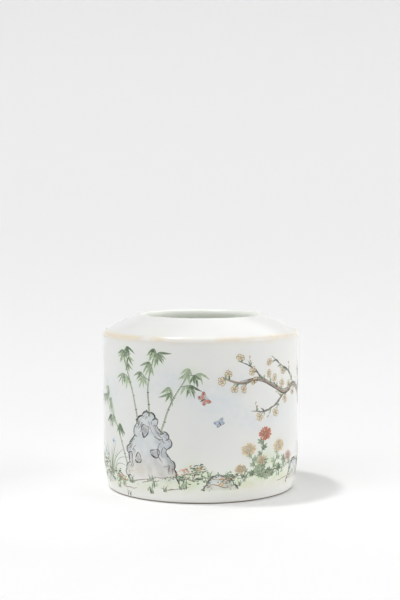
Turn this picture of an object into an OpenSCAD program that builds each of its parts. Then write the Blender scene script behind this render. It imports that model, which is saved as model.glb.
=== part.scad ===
// Porcelain brush washer: a straight-sided pot with a sloping shoulder and a narrow round mouth.
// Its clay sections are joined with slip, coated with glaze and fired into one pot.
// Millimetres, +Z up, origin at the middle of the circle that the foot stands on.

/* [Body] */
// Outside diameter of the straight wall, over the glaze
body_d = 86; // [76:1:110]
// Height from the table to the top of the lip
body_h = 76.5; // [66:0.5:100]
// Thickness of the wall, with its two coats of glaze
wall_t = 4.2; // [3.4:0.1:6]
// Thickness of the floor, with its two coats of glaze
floor_t = 5; // [4:0.1:8]
// Radius of the hollow corner between floor and wall
corner_r = 5; // [3:0.5:8]

/* [Shoulder and mouth] */
// Diameter of the mouth at its narrowest
mouth_d = 50; // [40:1:58]
// Height of the lip above the top of the straight wall
shoulder_rise = 8.8; // [6.5:0.1:14]
// Radius of the shoulder's gentle crown
crown_r = 75; // [50:1:200]
// Thickness of the shoulder and of its round lip, with two coats of glaze
shoulder_t = 4.2; // [2.8:0.1:4.8]
// Radius of the rounded arris between wall and shoulder
arris_r = 2.2; // [1:0.1:3.4]
// Height of the short rim under the arris that stands on the wall
rim_h = 3.2; // [2:0.1:5]

/* [Foot] */
// Height at which the wall starts to draw in towards the foot
taper_h = 16; // [8:0.5:24]
// How far the foot is drawn in from the wall
taper_in = 2.2; // [1:0.1:4]
// Depth of the hollow inside the foot ring
foot_h = 3; // [2:0.1:5]
// Width of the foot ring at the table
foot_w = 4.6; // [3:0.1:8]
// Bevel on both edges of the foot ring's standing face
foot_bevel = 0.5; // [0.2:0.1:0.6]

/* [Coats and joints] */
// Thickness of the glaze
glaze_t = 0.4; // [0.2:0.05:0.6]
// Degrees round the lip, from the shoulder to where the outer glaze meets the inner glaze
lip_seam = 20; // [5:1:120]
// Height of the foot that the glaze leaves bare
bare_h = 0.9; // [0.7:0.1:1.6]
// Thickness of the slip between the sections
slip_t = 0.8; // [0.4:0.1:1.2]
// Thickness of the enamel band on the arris
band_t = 0.12; // [0.08:0.02:0.3]

/* [Hidden] */
$fn = 180;
// Steps in each round stretch of an outline
arc_steps = 10;

// Radii and heights
body_r = body_d / 2;
inner_r = body_r - wall_t;
lip_r = shoulder_t / 2;
floor_z = foot_h + floor_t;
taper_r = (taper_h ^ 2 + taper_in ^ 2) / (2 * taper_in);

// Centres of the round stretches, as [radius, height]
arris_c = [body_r - arris_r, body_h - shoulder_rise];
lip_c = [mouth_d / 2 + lip_r, body_h - lip_r];
corner_c = [inner_r - corner_r, floor_z + corner_r];
crown_c = around_two(arris_c, arris_r, lip_c, lip_r, crown_r);

// Directions, seen from the crown's centre, in which the arris and the lip meet the shoulder
arris_a = bearing(crown_c, arris_c);
lip_a = bearing(crown_c, lip_c);

// Clay under the glaze
clay_in_r = inner_r + glaze_t;
floor_top_z = floor_z - glaze_t;
floor_under_z = foot_h + glaze_t;
hollow_r = outer_r(0, glaze_t) - foot_w;

// Joints between the sections
ring_top_z = floor_under_z - slip_t;
wall_foot_z = floor_top_z + slip_t;
rim_foot_z = arris_c.y - rim_h;
wall_top_z = rim_foot_z - slip_t;

// Colours
biscuit = [0.87, 0.82, 0.74];
slip_clay = [0.82, 0.77, 0.69];
white_glaze = [0.90, 0.92, 0.89];
inside_glaze = [0.83, 0.88, 0.81];
ochre_enamel = [0.80, 0.66, 0.44];

// Direction from one point to another, in degrees
function bearing(from, to) = atan2(to.y - from.y, to.x - from.x);

// Point at a distance and direction from a centre
function polar(centre, r, angle) = centre + r * [cos(angle), sin(angle)];

// Round stretch of an outline, with both of its ends
function arc(centre, r, from, to) =
    [for (i = [0:arc_steps]) polar(centre, r, from + (to - from) * i / arc_steps)];

// Round stretch that carries on from the point before it
function arc_on(centre, r, from, to) =
    [for (i = [1:arc_steps]) polar(centre, r, from + (to - from) * i / arc_steps)];

function reversed(points) = [for (i = [len(points) - 1:-1:0]) points[i]];

// Centre of the circle of radius big_r that touches two circles inside it, on the side of the axis
function around_two(c1, r1, c2, r2, big_r) =
    let (gap = norm(c2 - c1), ahead = (c2 - c1) / gap, aside = [-ahead.y, ahead.x])
    let (d1 = big_r - r1, d2 = big_r - r2, along = (d1 ^ 2 - d2 ^ 2 + gap ^ 2) / (2 * gap))
    c1 + along * ahead + sqrt(d1 ^ 2 - along ^ 2) * aside;

// Radius of the outside at a height, a depth below its skin
function outer_r(z, depth) = z < taper_h
    ? body_r - taper_r + sqrt((taper_r - depth) ^ 2 - (taper_h - z) ^ 2)
    : body_r - depth;

// Outside of the wall between two heights, a depth below its skin
function side(z1, z2, depth) =
    let (bend_z = min(taper_h, z2), steps = [for (i = [0:arc_steps]) z1 + (bend_z - z1) * i / arc_steps])
    concat(
        z1 < taper_h ? [for (z = steps) [outer_r(z, depth), z]] : [[body_r - depth, z1]],
        z2 > taper_h ? [[body_r - depth, z2]] : []);

// Shoulder's outside from the wall to the lip, a depth below its skin
function slope(depth) = concat(
    arc_on(arris_c, arris_r - depth, 0, arris_a),
    arc_on(crown_c, crown_r - depth, arris_a, lip_a));

// Direction, seen from the crown's centre, in which the shoulder's underside meets the wall
function underside_a(depth) =
    acos((inner_r + depth - crown_c.x) / (crown_r - shoulder_t + depth));

// Rest of the lip, from a direction round it, and the shoulder's underside, a depth below its skin
function underside(from, depth) = concat(
    arc_on(lip_c, lip_r - depth, from, lip_a + 180),
    arc_on(crown_c, crown_r - shoulder_t + depth, lip_a, underside_a(depth)));

// Outside from the bare foot to the seam on the lip, a depth below its skin
function outside(depth) = concat(
    side(bare_h, arris_c.y, depth),
    slope(depth),
    arc_on(lip_c, lip_r - depth, lip_a, lip_a + lip_seam));

// Inside from the seam on the lip to the middle of the floor, a depth below its skin
function inside(depth) = concat(
    [polar(lip_c, lip_r - depth, lip_a + lip_seam)],
    underside(lip_a + lip_seam, depth),
    arc(corner_c, corner_r + depth, 0, -90),
    [[0, floor_z - depth]]);

// Solid turned about the pot's axis from its outline
module turned(colour, outline) {
    color(colour) rotate_extrude() polygon(outline);
}

// Coat between two outlines that start and end together
module coat(colour, skin, back) {
    turned(colour, concat(skin, reversed(back)));
}

// Ring between two heights, from an inside radius to the clay's outside
module clay_ring(colour, r, z1, z2) {
    turned(colour, concat(side(z1, z2, glaze_t), [[r, z2], [r, z1]]));
}

module wall() {
    clay_ring(biscuit, clay_in_r, wall_foot_z, wall_top_z);
}

module shoulder() {
    turned(biscuit, concat(
        [[clay_in_r, rim_foot_z]],
        side(rim_foot_z, arris_c.y, glaze_t),
        slope(glaze_t),
        underside(lip_a, glaze_t)));
}

module floor_disc() {
    clay_ring(biscuit, 0, floor_under_z, floor_top_z);
}

module foot_ring() {
    turned(biscuit, concat(
        [[hollow_r, foot_bevel], [hollow_r + foot_bevel, 0], [outer_r(0, glaze_t) - foot_bevel, 0]],
        side(foot_bevel, ring_top_z, glaze_t),
        [[hollow_r, ring_top_z]]));
}

module shoulder_slip_joint() {
    clay_ring(slip_clay, clay_in_r, wall_top_z, rim_foot_z);
}

// Slip under the wall, wiped into a fillet in the inside corner
module floor_slip_joint() {
    turned(slip_clay, concat(
        side(floor_top_z, wall_foot_z, glaze_t),
        [[clay_in_r, wall_foot_z]],
        arc(corner_c, corner_r + glaze_t, 0, -90)));
}

module foot_slip_joint() {
    clay_ring(slip_clay, hollow_r, ring_top_z, floor_under_z);
}

module outer_glaze() {
    coat(white_glaze, outside(0), outside(glaze_t));
}

module inner_glaze() {
    coat(inside_glaze, inside(0), inside(glaze_t));
}

module base_glaze() {
    coat(white_glaze,
         [[0, foot_h], [hollow_r - glaze_t, foot_h], [hollow_r - glaze_t, bare_h]],
         [[0, floor_under_z], [hollow_r, floor_under_z], [hollow_r, bare_h]]);
}

module arris_band() {
    coat(ochre_enamel,
         arc(arris_c, arris_r + band_t, 0, arris_a),
         arc(arris_c, arris_r, 0, arris_a));
}

wall();
shoulder();
floor_disc();  // floor
foot_ring();
shoulder_slip_joint();
floor_slip_joint();
foot_slip_joint();
outer_glaze();
inner_glaze();
base_glaze();
arris_band();
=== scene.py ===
"""Looks of a porcelain brush washer: its glazes, ochre arris, bare foot and enamel painting.

Lengths are in metres, +Z is up and the painted front faces -Y. The painting alone is laid out in
millimetres on the unrolled wall: along it from the middle of the front towards +X, and up from the table.
"""

import logging
import math
from dataclasses import dataclass, field
from enum import Enum
from typing import Any, Sequence

import bmesh
import bpy
import numpy as np
from mathutils import Matrix, Vector


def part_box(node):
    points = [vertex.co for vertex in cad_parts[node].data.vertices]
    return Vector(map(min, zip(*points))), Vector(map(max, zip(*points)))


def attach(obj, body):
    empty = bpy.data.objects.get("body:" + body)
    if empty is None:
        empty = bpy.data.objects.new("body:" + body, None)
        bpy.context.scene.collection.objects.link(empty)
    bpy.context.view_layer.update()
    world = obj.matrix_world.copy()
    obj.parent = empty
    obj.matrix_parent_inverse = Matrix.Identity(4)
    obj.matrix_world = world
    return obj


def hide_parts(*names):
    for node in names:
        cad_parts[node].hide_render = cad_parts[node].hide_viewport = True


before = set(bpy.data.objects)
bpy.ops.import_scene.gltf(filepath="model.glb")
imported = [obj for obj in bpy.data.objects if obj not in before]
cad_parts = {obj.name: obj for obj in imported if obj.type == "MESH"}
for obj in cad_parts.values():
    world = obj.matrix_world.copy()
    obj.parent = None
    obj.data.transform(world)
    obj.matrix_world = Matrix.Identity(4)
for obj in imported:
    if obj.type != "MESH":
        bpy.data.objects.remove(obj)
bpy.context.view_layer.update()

MM = 0.001
BODY = "root"
# Attributes of the painting: washes on the coat of glaze, and how pale each stroke is
WASH = "wash"
TONE = "tone"
# Greatest angle between two faces that are shaded as one
SMOOTH_ANGLE = math.radians(35)
# Radius and height, or a place on the unrolled wall
Pair = tuple[float, float]
Colour = tuple[float, float, float]
log = logging.getLogger("brush_washer")


def bearing(start: Sequence[float], end: Sequence[float]) -> float:
    """Direction from one place to another, in radians."""
    return math.atan2(end[1] - start[1], end[0] - start[0])


def spaced(start: float, end: float, step: float) -> list[float]:
    """Numbers from start to end, at most a step apart."""
    return np.linspace(start, end, math.ceil(abs(end - start) / step) + 1).tolist()


def arc(centre: Pair, radius: float, start: float, end: float, step: float) -> list[Pair]:
    """Points along a round stretch of an outline, both ends included.

    Args:
        centre: radius and height of the stretch's centre.
        radius: radius of the stretch.
        start: direction of its first point, in radians.
        end: direction of its last point, in radians.
        step: greatest distance between two points.

    Returns:
        The points as radius and height.
    """
    count = max(2, math.ceil(abs(end - start) * radius / step))
    angles = np.linspace(start, end, count + 1)
    return [(centre[0] + radius * math.cos(a), centre[1] + radius * math.sin(a)) for a in angles]


@dataclass
class PotForm:
    """Outline of the pot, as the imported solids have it.

    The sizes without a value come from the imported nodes. The next are the form's own radii, and the last
    say how far a hand-thrown wall is out of round, in millimetres, and how far apart its rings are.
    """

    body_r: float
    height: float
    bare_h: float
    arris_z: float
    inner_r: float
    floor_z: float
    glaze_t: float = 0.4 * MM
    mouth_r: float = 25.0 * MM
    lip_r: float = 2.1 * MM
    arris_r: float = 2.2 * MM
    crown_r: float = 75.0 * MM
    corner_r: float = 5.0 * MM
    taper_h: float = 16.0 * MM
    taper_in: float = 2.2 * MM
    lip_seam: float = math.radians(20)
    two_sided: float = 0.05
    three_sided: float = 0.03
    ringed: float = 0.012
    ring_gap: float = 9.0 * MM

    @classmethod
    def from_frame(cls) -> "PotForm":
        """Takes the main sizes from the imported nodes.

        Returns:
            The form.
        """
        outer_low, outer_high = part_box("outer_glaze")
        inner_low, inner_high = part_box("inner_glaze")
        return cls(
            body_r=outer_high.x,
            height=outer_high.z,
            bare_h=outer_low.z,
            arris_z=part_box("arris_band")[0].z,
            inner_r=inner_high.x - cls.glaze_t,
            floor_z=inner_low.z + cls.glaze_t,
        )

    def __post_init__(self) -> None:
        """Works out the centres and directions of the round stretches."""
        self.taper_r = (self.taper_h**2 + self.taper_in**2) / (2 * self.taper_in)
        self.arris_c = (self.body_r - self.arris_r, self.arris_z)
        self.lip_c = (self.mouth_r + self.lip_r, self.height - self.lip_r)
        self.corner_c = (self.inner_r - self.corner_r, self.floor_z + self.corner_r)
        self.crown_c = self.crown_centre()
        self.arris_a = bearing(self.crown_c, self.arris_c)
        self.lip_a = bearing(self.crown_c, self.lip_c)
        self.seam_a = self.lip_a + self.lip_seam

    def crown_centre(self) -> Pair:
        """Centre of the shoulder's crown, which touches the rounds of the arris and the lip from outside.

        Returns:
            The centre as radius and height.
        """
        arris = Vector(self.arris_c)
        ahead = Vector(self.lip_c) - arris
        gap = ahead.length
        ahead.normalize()
        to_arris = self.crown_r - self.arris_r
        to_lip = self.crown_r - self.lip_r
        along = (to_arris**2 - to_lip**2 + gap**2) / (2 * gap)
        aside = math.sqrt(to_arris**2 - along**2)
        centre = arris + along * ahead + aside * Vector((-ahead.y, ahead.x))
        return centre.x, centre.y

    def side_r(self, z: Any, depth: float = 0.0) -> Any:
        """Radius of the wall's outside at one or more heights, a depth below its skin."""
        below = np.maximum(self.taper_h - np.asarray(z, float), 0.0)
        return self.body_r - self.taper_r + np.sqrt((self.taper_r - depth) ** 2 - below**2)

    def outside(self, depth: float, step: float) -> list[Pair]:
        """Outline of the outside from the bare foot to the seam on the lip.

        Args:
            depth: distance below the skin.
            step: greatest distance between two points, of which the tight rounds have a third.

        Returns:
            The points as radius and height.
        """
        return [
            *[(float(self.side_r(z, depth)), z) for z in spaced(self.bare_h, self.arris_z, step)],
            *arc(self.arris_c, self.arris_r - depth, 0, self.arris_a, step / 3)[1:],
            *arc(self.crown_c, self.crown_r - depth, self.arris_a, self.lip_a, step)[1:],
            *arc(self.lip_c, self.lip_r - depth, self.lip_a, self.seam_a, step / 3)[1:],
        ]

    def inside(self, depth: float, step: float) -> list[Pair]:
        """Outline of the inside from the seam on the lip to the middle of the floor.

        Args:
            depth: distance below the skin.
            step: greatest distance between two points, of which the lip has a third.

        Returns:
            The points as radius and height.
        """
        under_r = self.crown_r - 2 * self.lip_r + depth
        under_a = math.acos((self.inner_r + depth - self.crown_c[0]) / under_r)
        wall_top = self.crown_c[1] + under_r * math.sin(under_a)
        floor_r, wall_foot = self.corner_c
        return [
            *arc(self.lip_c, self.lip_r - depth, self.seam_a, self.lip_a + math.pi, step / 3),
            *arc(self.crown_c, under_r, self.lip_a, under_a, step)[1:],
            *[(self.inner_r + depth, z) for z in spaced(wall_top, wall_foot, step)[1:]],
            *arc(self.corner_c, self.corner_r + depth, 0, -math.pi / 2, step)[1:],
            *[(r, self.floor_z - depth) for r in spaced(floor_r, 0, step)[1:]],
        ]

    def thrown(self, angle: Any, z: Any) -> Any:
        """How a hand-thrown pot is out of round, fading out at its foot.

        Args:
            angle: directions round the axis, from the front.
            z: heights.

        Returns:
            The factor on the radius, close to 1.
        """
        grown = np.clip((z - self.taper_h / 4) / self.taper_h, 0, 1)
        sway = self.two_sided * np.sin(2 * angle + 0.7) + self.three_sided * np.sin(3 * angle + 2.1)
        rings = self.ringed * np.sin(math.tau * z / self.ring_gap + 1.5 * np.sin(angle))
        return 1 + grown * (sway + rings) * MM / self.body_r

    def on_wall(self, along: np.ndarray, z: np.ndarray, lift: np.ndarray) -> np.ndarray:
        """Places unrolled points on the wall.

        Args:
            along: distances round the wall from the middle of the front, towards +X.
            z: heights.
            lift: distances above the glaze.

        Returns:
            One row of x, y and z for each point.
        """
        angle = along / self.body_r
        radius = self.side_r(z) * self.thrown(angle, z) + lift
        return np.stack([radius * np.sin(angle), -radius * np.cos(angle), z], axis=-1)


class NodeBench:
    """A node tree, with short ways to add and join nodes."""

    def __init__(self, tree: bpy.types.NodeTree) -> None:
        """Takes up the tree."""
        self.tree = tree

    def feed(self, socket: bpy.types.NodeSocket, value: Any) -> None:
        """Fills a socket.

        Args:
            socket: a node's input.
            value: another node's output to join to it, or its own value.
        """
        if isinstance(value, bpy.types.NodeSocket):
            self.tree.links.new(value, socket)
        else:
            socket.default_value = (*value, 1) if socket.type == "RGBA" else value

    def add(self, kind: str, feeds: dict[Any, Any] | None = None, **settings: Any) -> bpy.types.Node:
        """Adds a node.

        Args:
            kind: the node's type.
            feeds: what each input gets, by the input's name or number.
            **settings: the node's own options.

        Returns:
            The node.
        """
        node = self.tree.nodes.new(kind)
        for name, value in settings.items():
            setattr(node, name, value)
        for name, value in (feeds or {}).items():
            self.feed(node.inputs[name], value)
        return node

    def math(self, operation: str, first: Any, second: Any = 0.0) -> Any:
        """Output of a sum on two values."""
        return self.add("ShaderNodeMath", {0: first, 1: second}, operation=operation).outputs[0]

    def vector(self, operation: str, first: Any, second: Any = (0, 0, 0)) -> Any:
        """Outputs of a sum on two vectors: the vector, and its value if it has one."""
        return self.add("ShaderNodeVectorMath", {0: first, 1: second}, operation=operation).outputs

    def parts(self, vector: Any) -> Any:
        """Outputs with a vector's X, Y and Z."""
        return self.add("ShaderNodeSeparateXYZ", {0: vector}).outputs

    def spread(self, value: Any, low: float, high: float, to_low: float = 0.0, to_high: float = 1.0) -> Any:
        """Output that runs from to_low to to_high as a value runs from low to high."""
        feeds = {"Value": value, "From Min": low, "From Max": high, "To Min": to_low, "To Max": to_high}
        return self.add("ShaderNodeMapRange", feeds, interpolation_type="SMOOTHSTEP").outputs[0]

    def mix(self, share: Any, first: Any, second: Any, blend: str = "MIX") -> Any:
        """Output of two colours mixed, where share says how much the second counts."""
        feeds = {0: share, 6: first, 7: second}
        return self.add("ShaderNodeMix", feeds, data_type="RGBA", blend_type=blend).outputs[2]

    def rays(self) -> tuple[Any, Any]:
        """Ways to tell what looks at a surface.

        Returns:
            The output that is 1 for the camera's rays, and the one for rays mirrored or let through.
        """
        kinds = self.add("ShaderNodeLightPath").outputs
        mirrored = self.math("MAXIMUM", kinds["Is Glossy Ray"], kinds["Is Transmission Ray"])
        return kinds["Is Camera Ray"], mirrored


class MaterialBench(NodeBench):
    """A material's node tree, with patterns on the piece's own coordinates."""

    def __init__(self, name: str) -> None:
        """Starts a material with a Principled shader.

        Args:
            name: the material's name.
        """
        self.material = bpy.data.materials.new(name)
        self.material.use_nodes = True
        super().__init__(self.material.node_tree)
        self.surface = self.tree.nodes["Principled BSDF"]
        self.place = self.add("ShaderNodeTexCoord").outputs["Object"]

    def height(self) -> Any:
        """Output with the height above the table."""
        return self.parts(self.place)["Z"]

    def radius(self) -> Any:
        """Output with the distance from the pot's axis."""
        flat = self.vector("MULTIPLY", self.place, (1, 1, 0))[0]
        return self.vector("LENGTH", flat)["Value"]

    def noise(self, size: float, detail: float = 2.0, stretch: Sequence[float] = (1, 1, 1)) -> Any:
        """Cloudy pattern.

        Args:
            size: size of its patches, in metres.
            detail: how many finer layers it has.
            stretch: how much finer the pattern runs along each axis.

        Returns:
            The output with the pattern, from 0 to 1.
        """
        scaled = self.add("ShaderNodeMapping", {"Vector": self.place, "Scale": stretch}).outputs[0]
        feeds = {"Vector": scaled, "Scale": 1 / size, "Detail": detail}
        return self.add("ShaderNodeTexNoise", feeds).outputs[0]

    def specks(self, spacing: float, radius: float, share: float) -> Any:
        """Small round spots, scattered.

        Args:
            spacing: distance between neighbouring places for a spot.
            radius: radius of a spot.
            share: share of the places that have one.

        Returns:
            The output, 1 in a spot and 0 outside.
        """
        cells = self.add("ShaderNodeTexVoronoi", {"Vector": self.place, "Scale": 1 / spacing})
        spot = self.spread(cells.outputs["Distance"], radius / spacing, 0.6 * radius / spacing)
        chosen = self.add("ShaderNodeSeparateColor", {"Color": cells.outputs["Color"]}).outputs[0]
        kept = self.math("LESS_THAN", chosen, share)
        return self.math("MULTIPLY", spot, kept)

    def bump(self, height: Any, depth: float, before: Any = None) -> Any:
        """Output that roughens the shading.

        Args:
            height: pattern of the relief, from 0 to 1.
            depth: the relief's depth, in metres.
            before: a bump that this one adds to.

        Returns:
            The output with the normals.
        """
        feeds = {"Height": height, "Distance": depth}
        if before is not None:
            feeds["Normal"] = before
        return self.add("ShaderNodeBump", feeds).outputs[0]

    def finish(self, colour: Any, roughness: Any, normal: Any = None) -> bpy.types.Material:
        """Sets what the shader shows.

        Args:
            colour: its colour.
            roughness: its roughness.
            normal: its bump, if it has one.

        Returns:
            The material.
        """
        self.feed(self.surface.inputs["Base Color"], colour)
        self.feed(self.surface.inputs["Roughness"], roughness)
        if normal is not None:
            self.feed(self.surface.inputs["Normal"], normal)
        return self.material


class Pigment(Enum):
    """Pigments of the thin washes: their place in the wash attribute, and how a full wash tints white."""

    GREEN = (0, (0.85, 0.95, 0.76))
    BLUE = (1, (0.70, 0.80, 0.93))
    OCHRE = (2, (0.95, 0.82, 0.66))
    INK = (3, (0.35, 0.34, 0.34))

    @property
    def channel(self) -> int:
        """Place of the pigment in the wash attribute."""
        return self.value[0]

    @property
    def tint(self) -> Colour:
        """Colour of a full wash over white."""
        return self.value[1]


@dataclass(frozen=True)
class Glaze:
    """Soft white porcelain glaze with a breath of green and a few iron specks.

    Where it has a second colour, it turns to it from one height to another: a green tint at the lip
    inside, and painted bounce light that makes the outer wall paler towards the foot. Its surface has
    faint throwing rings and a fine orange peel.
    """

    name: str
    white: Colour
    cool: Colour
    tint_and_bounce_light: Colour | None = None
    shift_from: float = 0.0
    shift_to: float = 0.0
    iron: Colour = (0.25, 0.17, 0.11)
    painted: bool = False
    cloud_size: float = 22 * MM
    speck_gap: float = 17 * MM
    speck_r: float = 0.22 * MM
    speck_share: float = 0.3
    ring_gap: float = 9 * MM
    ring_depth: float = 0.06 * MM
    peel_size: float = 1.6 * MM
    peel_depth: float = 0.004 * MM
    wash_size: float = 3 * MM
    roughness: Pair = (0.16, 0.24)

    def material(self) -> bpy.types.Material:
        """Makes the glaze's material.

        Returns:
            The material.
        """
        bench = MaterialBench(self.name)
        cloud = bench.noise(self.cloud_size, 3)
        colour = bench.mix(bench.spread(cloud, 0.35, 0.7), self.white, self.cool)
        if self.tint_and_bounce_light:
            # A second colour by height: a green tint at the lip inside, painted bounce light paler towards
            # the foot outside
            pooled = bench.spread(bench.height(), self.shift_from, self.shift_to)
            colour = bench.mix(pooled, colour, self.tint_and_bounce_light)
        specks = bench.specks(self.speck_gap, self.speck_r, self.speck_share)
        colour = bench.mix(specks, colour, self.iron)
        if self.painted:
            colour = self.washed(bench, colour)
        rings = bench.bump(bench.noise(self.ring_gap, 2, (0.25, 0.25, 2.5)), self.ring_depth)
        normal = bench.bump(bench.noise(self.peel_size, 1), self.peel_depth, rings)
        return bench.finish(colour, bench.spread(cloud, 0.3, 0.7, *self.roughness), normal)

    def washed(self, bench: MaterialBench, colour: Any) -> Any:
        """The glaze's colour under the painting's thin washes.

        Args:
            bench: the material's nodes.
            colour: output with the bare glaze's colour.

        Returns:
            The output with the washed colour.
        """
        wash = bench.add("ShaderNodeAttribute", attribute_name=WASH)
        parts = bench.add("ShaderNodeSeparateColor", {"Color": wash.outputs["Color"]}).outputs
        amounts = (*parts, wash.outputs["Alpha"])
        pooled = bench.spread(bench.noise(self.wash_size, 4), 0.3, 0.7, 0.6, 1.3)
        for pigment in Pigment:
            share = bench.math("MULTIPLY", amounts[pigment.channel], pooled)
            colour = bench.mix(share, colour, pigment.tint, "MULTIPLY")
        return colour


@dataclass(frozen=True)
class WornOchre:
    """Thin ochre enamel on an edge, rubbed through to the glaze in places, both painted paler as a highlight
    along the arris.
    """

    name: str
    ochre: Colour
    glaze: Colour
    patch_size: float = 16 * MM
    grain_size: float = 1.2 * MM
    grain_depth: float = 0.01 * MM
    roughness: Pair = (0.28, 0.16)

    def material(self) -> bpy.types.Material:
        """Makes the enamel's material.

        Returns:
            The material.
        """
        bench = MaterialBench(self.name)
        rubbed = bench.spread(bench.noise(self.patch_size, 5), 0.4, 0.66)
        colour = bench.mix(rubbed, self.ochre, self.glaze)
        normal = bench.bump(bench.noise(self.grain_size, 2), self.grain_depth)
        return bench.finish(colour, bench.spread(rubbed, 0, 1, *self.roughness), normal)


@dataclass(frozen=True)
class Biscuit:
    """Bare fired clay.

    Where it has an edge to the glaze, it is browned along that, and its outer standing edge is near black:
    soil, with painted contact shade.
    """

    name: str
    clay: Colour
    brown: Colour
    soil_and_contact_shade: Colour = (0.17, 0.15, 0.13)
    edge_z: float = 0.0
    edge_h: float = 0.3 * MM
    dark_edge_h: float = 0.5 * MM
    dark_edge_r: float = 39.9 * MM
    stain_size: float = 7 * MM
    grain_size: float = 0.7 * MM
    grain_depth: float = 0.04 * MM
    roughness: Pair = (0.7, 0.85)

    def material(self) -> bpy.types.Material:
        """Makes the clay's material.

        Returns:
            The material.
        """
        bench = MaterialBench(self.name)
        grain = bench.noise(self.grain_size, 4)
        stain = bench.spread(bench.noise(self.stain_size, 3), 0.4, 0.75, 0.0, 0.5)
        colour = bench.mix(stain, self.clay, self.brown)
        if self.edge_z:
            near = bench.spread(bench.height(), self.edge_z - self.edge_h, self.edge_z)
            colour = bench.mix(near, colour, self.brown)
            # Near black along the outer standing edge: soil and painted contact shade
            low = bench.spread(bench.height(), self.dark_edge_h, 0.6 * self.dark_edge_h)
            outer = bench.spread(bench.radius(), self.dark_edge_r - self.dark_edge_h / 2, self.dark_edge_r)
            colour = bench.mix(bench.math("MULTIPLY", low, outer), colour, self.soil_and_contact_shade)
        normal = bench.bump(grain, self.grain_depth)
        return bench.finish(colour, bench.spread(grain, 0.3, 0.7, *self.roughness), normal)


@dataclass(frozen=True)
class Enamel:
    """Enamel laid on with a brush, paler where the brush ran dry."""

    name: str
    slot: str
    dark: Colour
    pale: Colour
    pool_size: float = 0.9 * MM
    pooling: float = 0.18
    roughness: Pair = (0.24, 0.36)

    def material(self) -> bpy.types.Material:
        """Makes the enamel's material.

        Returns:
            The material.
        """
        bench = MaterialBench(self.name)
        tone = bench.add("ShaderNodeAttribute", attribute_name=TONE).outputs["Fac"]
        pooled = bench.spread(bench.noise(self.pool_size, 3), 0.3, 0.7, -self.pooling, self.pooling)
        colour = bench.mix(bench.math("ADD", tone, pooled), self.dark, self.pale)
        return bench.finish(colour, bench.spread(tone, 0, 1, *self.roughness))


@dataclass(frozen=True)
class Paper:
    """Matt paper of the sweep, with painted fall-off of light: greyer some way behind the pot, paler again up
    the backdrop.

    Beside the pot it glows for the camera alone, painted light that fills in the pot's soft shadow there, so
    it looks paler than it lights the pot. For the light that it throws on the pot it is a little paler than
    it looks, as painted bounce light. Towards its far edges it fades into the backdrop.
    """

    name: str
    near: float
    behind: float
    top: float
    pale: float
    bounce: float
    dim_y: Pair = (-0.1, 0.3)
    lift_y: Pair = (0.75, 1.35)
    shade_fill_at: Pair = (-40 * MM, -40 * MM)
    shade_fill_r: Pair = (86 * MM, 90 * MM)
    edge: Pair = (1.2, 2.9)
    grain_size: float = 0.8 * MM
    grain_depth: float = 0.02 * MM
    roughness: float = 0.9

    def material(self) -> bpy.types.Material:
        """Makes the paper's material.

        Returns:
            The material.
        """
        bench = MaterialBench(self.name)
        seen = bench.math("MAXIMUM", *bench.rays())
        self.fill_pot_shade(bench, seen)
        self.fade_out(bench)
        back = bench.parts(bench.place)["Y"]
        # Painted fall-off of light: greyer from near to behind the pot, lifted again up the backdrop towards
        # top
        dimmed = bench.spread(back, *self.dim_y, self.near, self.behind)
        lifted = bench.spread(back, *self.lift_y, 0.0, self.top - self.behind)
        shown = bench.math("ADD", dimmed, lifted)
        # Painted bounce light: the paper is paler by bounce for rays that light the pot than where it is seen
        colour = bench.math("ADD", shown, bench.spread(seen, 0, 1, self.bounce, 0))
        grain = bench.bump(bench.noise(self.grain_size), self.grain_depth)
        return bench.finish(colour, self.roughness, grain)

    def fill_pot_shade(self, bench: MaterialBench, seen: Any) -> None:
        """Paints light on the paper beside the pot, where it is seen, filling in the pot's soft shadow there.

        Args:
            bench: the material's nodes.
            seen: output that is 1 where a ray shows the paper, and 0 where it only lights something.
        """
        scale = (1 / self.shade_fill_r[0], 1 / self.shade_fill_r[1], 0)
        start = (-self.shade_fill_at[0] * scale[0], -self.shade_fill_at[1] * scale[1], 0)
        feeds = {"Vector": bench.place, "Location": start, "Scale": scale}
        gap = bench.vector("LENGTH", bench.add("ShaderNodeMapping", feeds).outputs[0])["Value"]
        # Painted light: seen rays find the paper glowing in a round patch beside the pot, where the pot
        # shades it
        patch = bench.math("MULTIPLY", seen, bench.spread(gap, 1, 0, 0, self.pale))
        bench.feed(bench.surface.inputs["Emission Strength"], patch)
        bench.material.cycles.emission_sampling = "NONE"

    def fade_out(self, bench: MaterialBench) -> None:
        """Makes the paper run out to nothing at its sides and front.

        Args:
            bench: the material's nodes.
        """
        place = bench.parts(bench.place)
        aside = bench.math("ABSOLUTE", place["X"])
        ahead = bench.math("MULTIPLY", place["Y"], -1)
        gone = bench.spread(bench.math("MAXIMUM", aside, ahead), *self.edge)
        clear = bench.add("ShaderNodeBsdfTransparent").outputs[0]
        mixed = bench.add("ShaderNodeMixShader", {0: gone, 1: bench.surface.outputs[0], 2: clear})
        bench.feed(bench.tree.nodes["Material Output"].inputs["Surface"], mixed.outputs[0])


WHITE_GLAZE = Glaze(
    "white_glaze",
    white=(0.865, 0.866, 0.838),
    cool=(0.84, 0.852, 0.832),
    # Paler towards the foot: painted bounce light from the bright floor
    tint_and_bounce_light=(0.95, 0.95, 0.92),
    shift_from=26 * MM,
    shift_to=3 * MM,
    painted=True,
)
BASE_GLAZE = Glaze("base_glaze", white=(0.85, 0.855, 0.825), cool=(0.82, 0.84, 0.81))
# Paler than the outer glaze all over: painted light that brightens the inside of the mouth. Its greener lip
# is the glaze's own tint.
INSIDE_GLAZE = Glaze(
    "inside_glaze",
    white=(0.965, 0.975, 0.95),
    cool=(0.955, 0.97, 0.935),
    tint_and_bounce_light=(0.945, 0.965, 0.90),
    shift_from=70.5 * MM,
    shift_to=76.5 * MM,
)
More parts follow.
